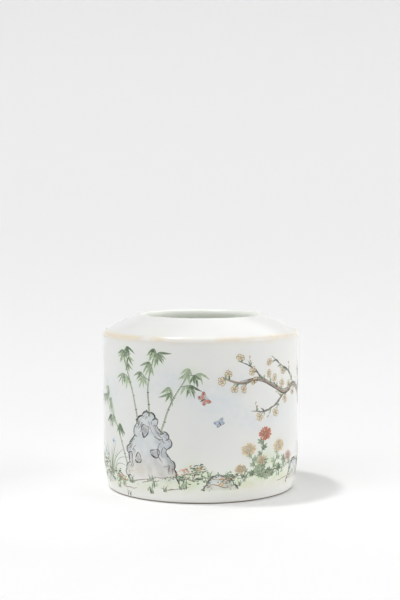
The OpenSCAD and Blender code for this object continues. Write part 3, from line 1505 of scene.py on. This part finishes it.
@dataclass
class Chrysanthemums(Motif):
    """Clump of chrysanthemums with lobed leaves.

    A head is a place with a radius. A ring of petals is their number, and where they start, where they end
    and their width, as shares of the radius. A lobe of a leaf is where it starts, its lean and its length,
    where the first and the last are shares of the leaf's length.
    """

    root: Pair
    heads: Sequence[tuple[float, float, float]]
    colours: Sequence[Enamel] = (YELLOW, SCARLET, YELLOW, YELLOW, PINK, YELLOW)
    rings: Sequence[tuple[int, float, float, float]] = (
        (19, 0.4, 1.0, 0.27), (15, 0.22, 0.72, 0.25), (9, 0.06, 0.42, 0.22),
    )
    lobes: Sequence[tuple[float, float, float]] = (
        (0.0, 0, 1.0), (0.25, 42, 0.66), (0.25, -42, 0.66), (0.12, 80, 0.42), (0.12, -80, 0.42),
    )
    leaf_l: float = 3.6

    def paint(self) -> None:
        """Adds each stem with its leaves and its head."""
        rng = self.rng
        stems = self.layer("chrysanthemum_stems", GREEN)
        for number, (along, up, size) in enumerate(self.heads):
            root = np.array(self.root) + rng.normal(0, 1.0, 2) * (1, 0.2)
            bow = 0.12 * (up - root[1]) * np.sign(along - root[0])
            way = [root, (root + (along, up)) / 2 + (bow, 0), (along, up)]
            stems.stroke(way, 0.5, tone=0.1)
            for step, share in enumerate(np.arange(0.14, 0.85, 0.13)):
                spot = smooth_path(way, np.array([share]))[0]
                side = 1 if step % 2 else -1
                degrees = 90 + side * rng.uniform(35, 85)
                self.leaf(spot, degrees, self.leaf_l * rng.uniform(0.8, 1.15))
            self.head(np.array([along, up]), size, self.colours[number % len(self.colours)])

    def leaf(self, start: np.ndarray, degrees: float, length: float) -> None:
        """Adds a lobed leaf with its veins.

        Args:
            start: where it leaves the stem.
            degrees: its direction.
            length: its length.
        """
        leaves = self.layer("chrysanthemum_leaves", GREEN, lift=0.005)
        veins = self.layer("chrysanthemum_ink", INK, lift=0.018)
        tone = self.rng.uniform(0.1, 0.75)
        for foot, lean, share in self.lobes:
            base = around(start, foot * length, degrees)
            heading = degrees + lean + self.rng.normal(0, 5)
            width = 0.42 * share * length + 0.3
            leaves.stroke(flick(base, heading, share * length), width, Brush.LEAF, tone, fade=0.15)
            veins.stroke(flick(base, heading, 0.8 * share * length), 0.14, tone=0.15, fade=0.3)

    def head(self, centre: np.ndarray, size: float, enamel: Enamel) -> None:
        """Adds a flower head of rings of petals.

        Args:
            centre: its middle.
            size: its radius.
            enamel: what its petals are painted with.
        """
        rng = self.rng
        petals = self.layer(f"chrysanthemum_{enamel.name}", enamel, lift=0.012)
        lines = self.layer("chrysanthemum_lines", BARK, lift=0.025)
        flat = np.array([1.0, rng.uniform(0.7, 0.86)])
        for count, inner, outer, width in self.rings:
            for heading in np.linspace(0, 360, count, endpoint=False) + rng.uniform(0, 20):
                curl = rng.uniform(-12, 12)
                start = centre + around((0, 0), inner * size, heading) * flat
                reach = outer * size * rng.uniform(0.88, 1.05)
                end = centre + around((0, 0), reach, heading + curl) * flat
                petals.stroke([start, end], width * size, Brush.PETAL, rng.uniform(0.3, 0.85), fade=0.3)
                off = 0.34 * width * size * around((0, 0), 1, heading + 90)
                for side in (-1, 1):
                    lines.stroke([start, (start + end) / 2 + side * off, end], 0.09, tone=0.4, fade=0.25)

    def stain(self) -> None:
        """Adds warm colour behind the heads and green behind the leaves."""
        for along, up, size in self.heads:
            middle = ((along + self.root[0]) / 2, (up + self.root[1]) / 2)
            self.washes.blot(Pigment.OCHRE, (along, up), size, amount=0.25)
            self.washes.blot(Pigment.GREEN, middle, size=4.5, amount=0.4)


@dataclass
class Bush(Motif):
    """Low bush of clumps of short dabs, a few of them turning colour, over a pale green wash."""

    place: Pair
    half_w: float
    height: float
    clumps: int = 10
    colours: Sequence[Enamel] = (GREEN, GREEN, GREEN, YELLOW, GREEN, PINK)

    def paint(self) -> None:
        """Adds its stems and its clumps of leaves."""
        rng = self.rng
        stems = self.layer("bush_stems", BARK)
        for number in range(self.clumps):
            turn = rng.uniform(0.1, math.pi - 0.1)
            reach = math.sqrt(rng.uniform(0.08, 1))
            off = np.array([self.half_w * math.cos(turn), self.height * math.sin(turn)])
            heart = np.array(self.place) + reach * off
            stems.stroke([self.place, (heart + self.place) / 2 + (0, 0.4), heart], 0.28, tone=0.2, fade=0.3)
            enamel = self.colours[number % len(self.colours)]
            leaves = self.layer(f"bush_{enamel.name}", enamel, lift=0.012)
            tone = rng.uniform(0.0, 0.45)
            for _ in range(rng.integers(8, 14)):
                spot = heart + rng.normal(0, 1, 2) * (1.5, 0.85)
                heading = rng.normal(8, 18) + rng.choice((0, 180))
                way = flick(spot, heading, rng.uniform(0.9, 1.7))
                leaves.stroke(way, rng.uniform(0.4, 0.7), Brush.LEAF, tone + rng.normal(0, 0.12))

    def stain(self) -> None:
        """Adds the pale green behind it."""
        middle = (self.place[0], self.place[1] + 0.4 * self.height)
        self.washes.blot(Pigment.GREEN, middle, 0.8 * self.half_w, amount=0.55)


@dataclass
class Butterfly(Motif):
    """Butterfly seen from above. A wing is its lean, and its length and width as shares of the size."""

    place: Pair
    size: float
    degrees: float
    enamel: Enamel
    wings: Sequence[tuple[float, float, float]] = ((52, 1.0, 0.62), (112, 0.7, 0.55))

    def paint(self) -> None:
        """Adds its wings, their edges, its body and its feelers."""
        colour = self.layer(f"butterfly_{self.enamel.name}", self.enamel)
        ink = self.layer("butterfly_ink", INK, lift=0.015)
        for side in (-1, 1):
            for lean, length, width in self.wings:
                heading = self.degrees + side * lean
                middle = around(self.place, 0.62 * length * self.size, heading)
                end = around(self.place, length * self.size, heading)
                colour.stroke([self.place, end], width * self.size, Brush.PETAL, tone=0.75, fade=-0.5)
                tip = around(end, 0.1 * self.size, heading)
                for edge in (-1, 1):
                    bulge = around(middle, 0.45 * width * self.size, heading + 90 * edge)
                    ink.stroke([self.place, bulge, tip], 0.16, tone=0.2)
                ink.dot(around(self.place, 0.72 * length * self.size, heading), 0.36, heading, tone=0.2)
            brow = around(self.place, 0.25 * self.size, self.degrees)
            ink.stroke(flick(brow, self.degrees + side * 18, 0.5 * self.size), 0.12, tone=0.1)
        body = [around(self.place, reach * self.size, self.degrees) for reach in (-0.45, 0.0, 0.3)]
        ink.stroke(body, 0.4, tone=0.0)


@dataclass
class Orchid(Motif):
    """Tuft of long arching leaves with a few small flowers, whose petals have their own directions."""

    root: Pair
    reach: float
    leaves: int = 13
    flowers: int = 4
    petals: Sequence[float] = (10, 62, 118, 170, 265)

    def paint(self) -> None:
        """Adds its leaves and flowers."""
        rng = self.rng
        blades = self.layer("orchid_leaves", GREEN)
        colour = self.layer("orchid_petals", BLUE, lift=0.012)
        ink = self.layer("orchid_ink", INK, lift=0.02)
        for lean in np.linspace(-62, 62, self.leaves) + rng.normal(0, 5, self.leaves):
            length = self.reach * rng.uniform(0.55, 1.05)
            start = (self.root[0] + lean * 0.02, self.root[1])
            way = flick(start, 90 - lean, length, 0.0035 * lean)
            blades.stroke(way, rng.uniform(0.5, 0.8), Brush.LEAF, rng.uniform(0.05, 0.6), fade=0.15)
            ink.stroke(way, 0.14, fade=0.3)
        for _ in range(self.flowers):
            lean = rng.normal(0, 24)
            stalk = flick(self.root, 90 - lean, self.reach * rng.uniform(0.5, 0.85), 0.002 * lean)
            blades.stroke(stalk, 0.28, tone=0.4)
            for petal in self.petals:
                way = flick(stalk[2], petal + rng.normal(0, 8), rng.uniform(1.5, 2.2), 0.05)
                colour.stroke(way, 0.62, Brush.LEAF, rng.uniform(0.2, 0.6), fade=0.3)
            for heading in (60, 100, 140):
                ink.dot(around(stalk[2], 0.3, heading), 0.28, heading, tone=0.1)

    def stain(self) -> None:
        """Adds the pale green behind it."""
        middle = (self.root[0], self.root[1] + 0.25 * self.reach)
        self.washes.blot(Pigment.GREEN, middle, 0.4 * self.reach, amount=0.4)


@dataclass
class Painting:
    """Garden with rocks, bamboo, plum and flowers, painted round the wall in thin enamels."""

    form: PotForm

    def ground(self) -> list[Motif]:
        """Lays out the mist, the tint under the arris and the bank.

        Returns:
            The motifs.
        """
        drifts = (
            (0, 48, 24, 7, 0.3), (26, 36, 20, 6, 0.26), (-66, 46, 30, 8, 0.28), (100, 42, 34, 9, 0.25),
        )
        return [Mist(drifts), ArrisTint(self.form.arris_z / MM), Bank(self.form.body_r / MM, seed=3)]

    def bamboos(self) -> list[Motif]:
        """Lays out the bamboo behind the tall rock and at the back.

        Returns:
            The motifs.
        """
        front = (
            ((-28, 33), (-31.5, 47), (-37, 60.5)),
            ((-22, 36), (-23, 49), (-20, 61.5)),
            ((-17, 29), (-12.5, 42), (-5, 54)),
            ((-34, 14), (-41, 29), (-51, 42)),
        )
        back = (
            ((-92, 8), (-88, 26), (-79, 46)),
            ((-97, 9), (-100, 30), (-108, 52)),
            ((-94, 9), (-95, 32), (-92, 58)),
        )
        return [Bamboo(front, seed=11), Bamboo(back, seed=17)]

    def rocks(self) -> list[Motif]:
        """Lays out the rocks and low stones.

        Returns:
            The motifs.
        """
        tall = (
            (-34, 8.5), (-35.5, 12.5), (-33, 17), (-34.5, 22), (-31, 26.5), (-30, 31), (-27.5, 35.5),
            (-23, 38), (-19, 35.5), (-18.5, 31), (-14.5, 29.5), (-12.5, 25), (-15, 21.5), (-11.5, 17.5),
            (-10.5, 12.5), (-9.5, 8.5),
        )
        tall_holes = ((-24.6, 30.2, 1.8, 2.5), (-19.6, 21.0, 2.2, 1.7), (-28.2, 18.2, 1.5, 2.1))
        back = (
            (96.5, 8.5), (96, 12.5), (98.5, 16), (99.5, 20.5), (103, 23.5), (106.5, 28), (111, 31),
            (115.5, 29.5), (117.5, 25.5), (116.5, 21), (118.5, 17), (117.5, 12.5), (119.5, 8.5),
        )
        back_holes = ((112, 24.5, 1.5, 2.2), (106, 18, 1.0, 1.7))
        return [
            GardenRock(tall, tall_holes, seed=5),
            self.stone(2, 15, 12.5, seed=6),
            self.stone(46, 62, 15, seed=9),
            self.stone(-56, -46, 9.5, seed=12),
            GardenRock(back, back_holes, wrinkles=52, seed=8),
            self.stone(-84, -70, 12.5, seed=10),
        ]

    def stone(self, left: float, right: float, top: float, seed: int) -> GardenRock:
        """A low stone on the bank.

        Args:
            left: where it starts along the wall.
            right: where it ends.
            top: its height above the table.
            seed: start of its source of chance.

        Returns:
            The stone.
        """
        foot = 6.0
        shape = (
            (-0.08, 0), (0.04, 0.4), (0.18, 0.82), (0.4, 1), (0.6, 0.88), (0.78, 0.76), (0.94, 0.4), (1.1, 0),
        )
        outline = [(left + (right - left) * share, foot + (top - foot) * rise) for share, rise in shape]
        return GardenRock(outline, wrinkles=22, lump=3.0, scallop=0.45, moss=0.35, fade=2.5, seed=seed)

    def plums(self) -> list[Motif]:
        """Lays out the flowering tree at the right of the front, and the one beside the rock at the back.

        Returns:
            The motifs.
        """
        trunk = ((80, 8), (76, 17), (78, 27), (70, 37))
        reach = ((60, 43), (51, 47.5), (42, 45), (34, 48.5), (25, 52), (17, 50.5), (9, 53))
        front = (
            (trunk + reach, 3.2, 0.33),
            (((51, 47.5), (46, 53), (39, 57), (33, 61)), 1.1, 0.12),
            (((42, 45), (36, 40.5), (29, 38), (22, 38.5)), 1.0, 0.12),
            (((29, 50.5), (23, 56.5), (16, 60)), 0.7, 0.12),
            (((60, 43), (63, 52), (71, 58)), 1.0, 0.12),
            (((78, 27), (84, 35), (83, 44), (88, 51)), 1.5, 0.2),
        )
        back = (
            (((123, 8), (127, 18), (124, 29), (122, 38), (128, 47), (137, 52), (147, 50)), 2.4, 0.3),
            (((122, 38), (114, 46), (106, 49), (98, 55)), 1.2, 0.12),
            (((128, 47), (127, 55), (121, 61)), 0.8, 0.12),
        )
        return [PlumTree(front, petal=YELLOW, line=BARK, leaves=2, seed=23), PlumTree(back, seed=29)]

    def flowers(self) -> list[Motif]:
        """Lays out the flowers, bushes and butterflies.

        Returns:
            The motifs.
        """
        front_heads = (
            (21, 22.5, 3.9), (29.5, 28.5, 3.6), (38, 22.5, 4.0),
            (27.5, 17.5, 2.9), (45.5, 17, 3.1), (17, 14.5, 2.7),
        )
        back_heads = ((86, 20, 3.6), (93.5, 27, 3.8), (94, 15.5, 3.0), (83, 30, 3.2))
        return [
            Chrysanthemums((30, 9), front_heads, seed=31),
            Chrysanthemums((92, 8), back_heads, seed=37),
            Orchid((-47, 9), 17, seed=41),
            Orchid((-124, 8), 21, seed=43),
            Orchid((64, 9), 14, flowers=2, seed=47),
            Bush((-3.5, 10), 7.5, 7, seed=51),
            Bush((12.5, 9), 5, 4, clumps=6, seed=52),
            Bush((-60, 10), 8, 8, seed=53),
            Bush((-40, 7), 5, 4, clumps=6, seed=56),
            Bush((68, 9), 7, 6, seed=54),
            Bush((132, 9), 8, 7, seed=55),
            Bush((-110, 9), 7, 6, seed=57),
            Butterfly((1, 44), 3.4, 35, RED),
            Butterfly((8, 34), 2.6, 120, BLUE),
            Butterfly((-64, 40), 3.0, 60, YELLOW),
        ]

    def build(self, coat: bpy.types.Object) -> list[bpy.types.Object]:
        """Washes the coat of glaze and lays the strokes on it.

        Args:
            coat: the outer coat of glaze.

        Returns:
            The layers of strokes as pieces.
        """
        layers: dict[str, Layer] = {}
        washes = WashField(self.form, points_of(coat.data))
        for motif in self.ground() + self.bamboos() + self.rocks() + self.plums() + self.flowers():
            motif.take_up(layers, washes)
            motif.paint()
            motif.stain()
        set_attribute(coat.data, WASH, "FLOAT_COLOR", np.clip(washes.amounts, 0, 1))
        return [layer.build(self.form) for layer in layers.values()]


@dataclass(frozen=True)
class Softbox:
    """Soft patch of light far away.

    It has a direction, the half widths of its dark edge and of its bright core in degrees, and a strength.
    """

    azimuth: float
    elevation: float
    half_width: float
    strength: float
    core: float = 5.0

    def axis(self) -> Vector:
        """Works out where it is.

        Returns:
            The direction towards its middle.
        """
        azimuth = math.radians(self.azimuth)
        elevation = math.radians(self.elevation)
        level = math.cos(elevation)
        return Vector((level * math.sin(azimuth), level * math.cos(azimuth), math.sin(elevation)))


@dataclass
class Studio:
    """Pale sweep, soft light and the camera."""

    lens: float = 78.6
    camera_place: tuple[float, float, float] = (-0.29 * MM, -578.8 * MM, 120.3 * MM)
    camera_pitch: float = math.radians(3.742)
    clip_start: float = 0.01
    key_from: tuple[float, float, float] = (-19.5, 3.0, 68.5)
    key_strength: float = 0.93
    key_angle: float = math.radians(6)
    softboxes: tuple[Softbox, ...] = (
        Softbox(28, 42, 40, 1.85),
        Softbox(100, 17, 40, 2.15),
        Softbox(235, 46, 47.5, 1.5),
    )
    room: float = 0.03
    backdrop: float = 0.84
    overhead: float = 3.0
    overhead_z: Pair = (0.8, 0.97)
    bounces: int = 8
    floor_front: float = -3.0
    floor_back: float = 0.35
    sweep_r: float = 1.2
    sweep_step: float = 0.02
    half_width: float = 3.0

    def camera(self) -> None:
        """Sets up the camera at the photograph's viewing angle."""
        data = bpy.data.cameras.new("camera")
        data.lens = self.lens
        data.clip_start = self.clip_start
        eye = placed("camera", data)
        eye.location = self.camera_place
        eye.rotation_euler = (math.pi / 2 - self.camera_pitch, 0, 0)
        bpy.context.scene.camera = eye

    def key_light(self) -> None:
        """Adds the small light that casts the shadow."""
        data = bpy.data.lights.new("key", "SUN")
        data.energy = self.key_strength
        data.angle = self.key_angle
        placed("key", data).rotation_euler = Vector(self.key_from).to_track_quat("Z", "Y").to_euler()

    def soft_light(self) -> None:
        """Adds the softboxes as patches of the world, which looks plain and pale itself."""
        world = bpy.data.worlds.new("soft_light")
        world.use_nodes = True
        bpy.context.scene.world = world
        bench = NodeBench(world.node_tree)
        way = bench.add("ShaderNodeTexCoord").outputs["Generated"]
        light = self.room
        for box in self.softboxes:
            aligned = bench.vector("DOT_PRODUCT", way, box.axis())["Value"]
            edge, core = (math.cos(math.radians(degrees)) for degrees in (box.half_width, box.core))
            light = bench.math("ADD", bench.spread(aligned, edge, core, 0, box.strength), light)
        camera, mirrored = bench.rays()
        sheen = bench.spread(bench.parts(way)["Z"], *self.overhead_z, self.backdrop, self.overhead)
        light = bench.math("MAXIMUM", light, bench.math("MULTIPLY", mirrored, sheen))
        shown = bench.add("ShaderNodeMix", {0: camera, 2: light, 3: self.backdrop}).outputs[0]
        background = world.node_tree.nodes["Background"].inputs
        bench.feed(background["Color"], (1, 1, 1))
        bench.feed(background["Strength"], shown)
        bpy.context.scene.cycles.diffuse_bounces = self.bounces

    def sweep(self) -> None:
        """Adds the floor that curves up into the backdrop."""
        bm = bmesh.new()
        corner = (self.floor_back, self.sweep_r)
        line = [(self.floor_front, 0.0), *arc(corner, self.sweep_r, -math.pi / 2, 0, self.sweep_step)]
        verts = [bm.verts.new((-self.half_width, y, z)) for y, z in line]
        edges = [bm.edges.new(pair) for pair in zip(verts, verts[1:])]
        made = bmesh.ops.extrude_edge_only(bm, edges=edges)["geom"]
        moved = [item for item in made if isinstance(item, bmesh.types.BMVert)]
        bmesh.ops.translate(bm, verts=moved, vec=(2 * self.half_width, 0, 0))
        bmesh.ops.recalc_face_normals(bm, faces=bm.faces)
        new_piece("sweep", mesh_of(bm), PAPER.material())


def dress_solids() -> None:
    """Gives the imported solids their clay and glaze."""
    clay = CLAY.material()
    finishes = {"foot_ring": BARE_FOOT.material(), "base_glaze": BASE_GLAZE.material()}
    for name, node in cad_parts.items():
        node.data.materials.clear()
        node.data.materials.append(finishes.get(name, clay))


def main() -> None:
    """Builds the pieces in order and reports each one."""
    logging.basicConfig(level=logging.INFO, format="%(name)s: %(message)s")
    bpy.context.scene.view_settings.view_transform = "Standard"
    studio = Studio()
    studio.camera()
    studio.key_light()
    studio.soft_light()
    studio.sweep()
    dress_solids()
    form = PotForm.from_frame()
    coats = GlazeCoats(form).build()
    layers = Painting(form).build(coats[0])
    for piece in coats + layers:
        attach(piece, BODY)
        log.info("%s: %d faces", piece.name, len(piece.data.polygons))


if __name__ == "__main__":
    main()
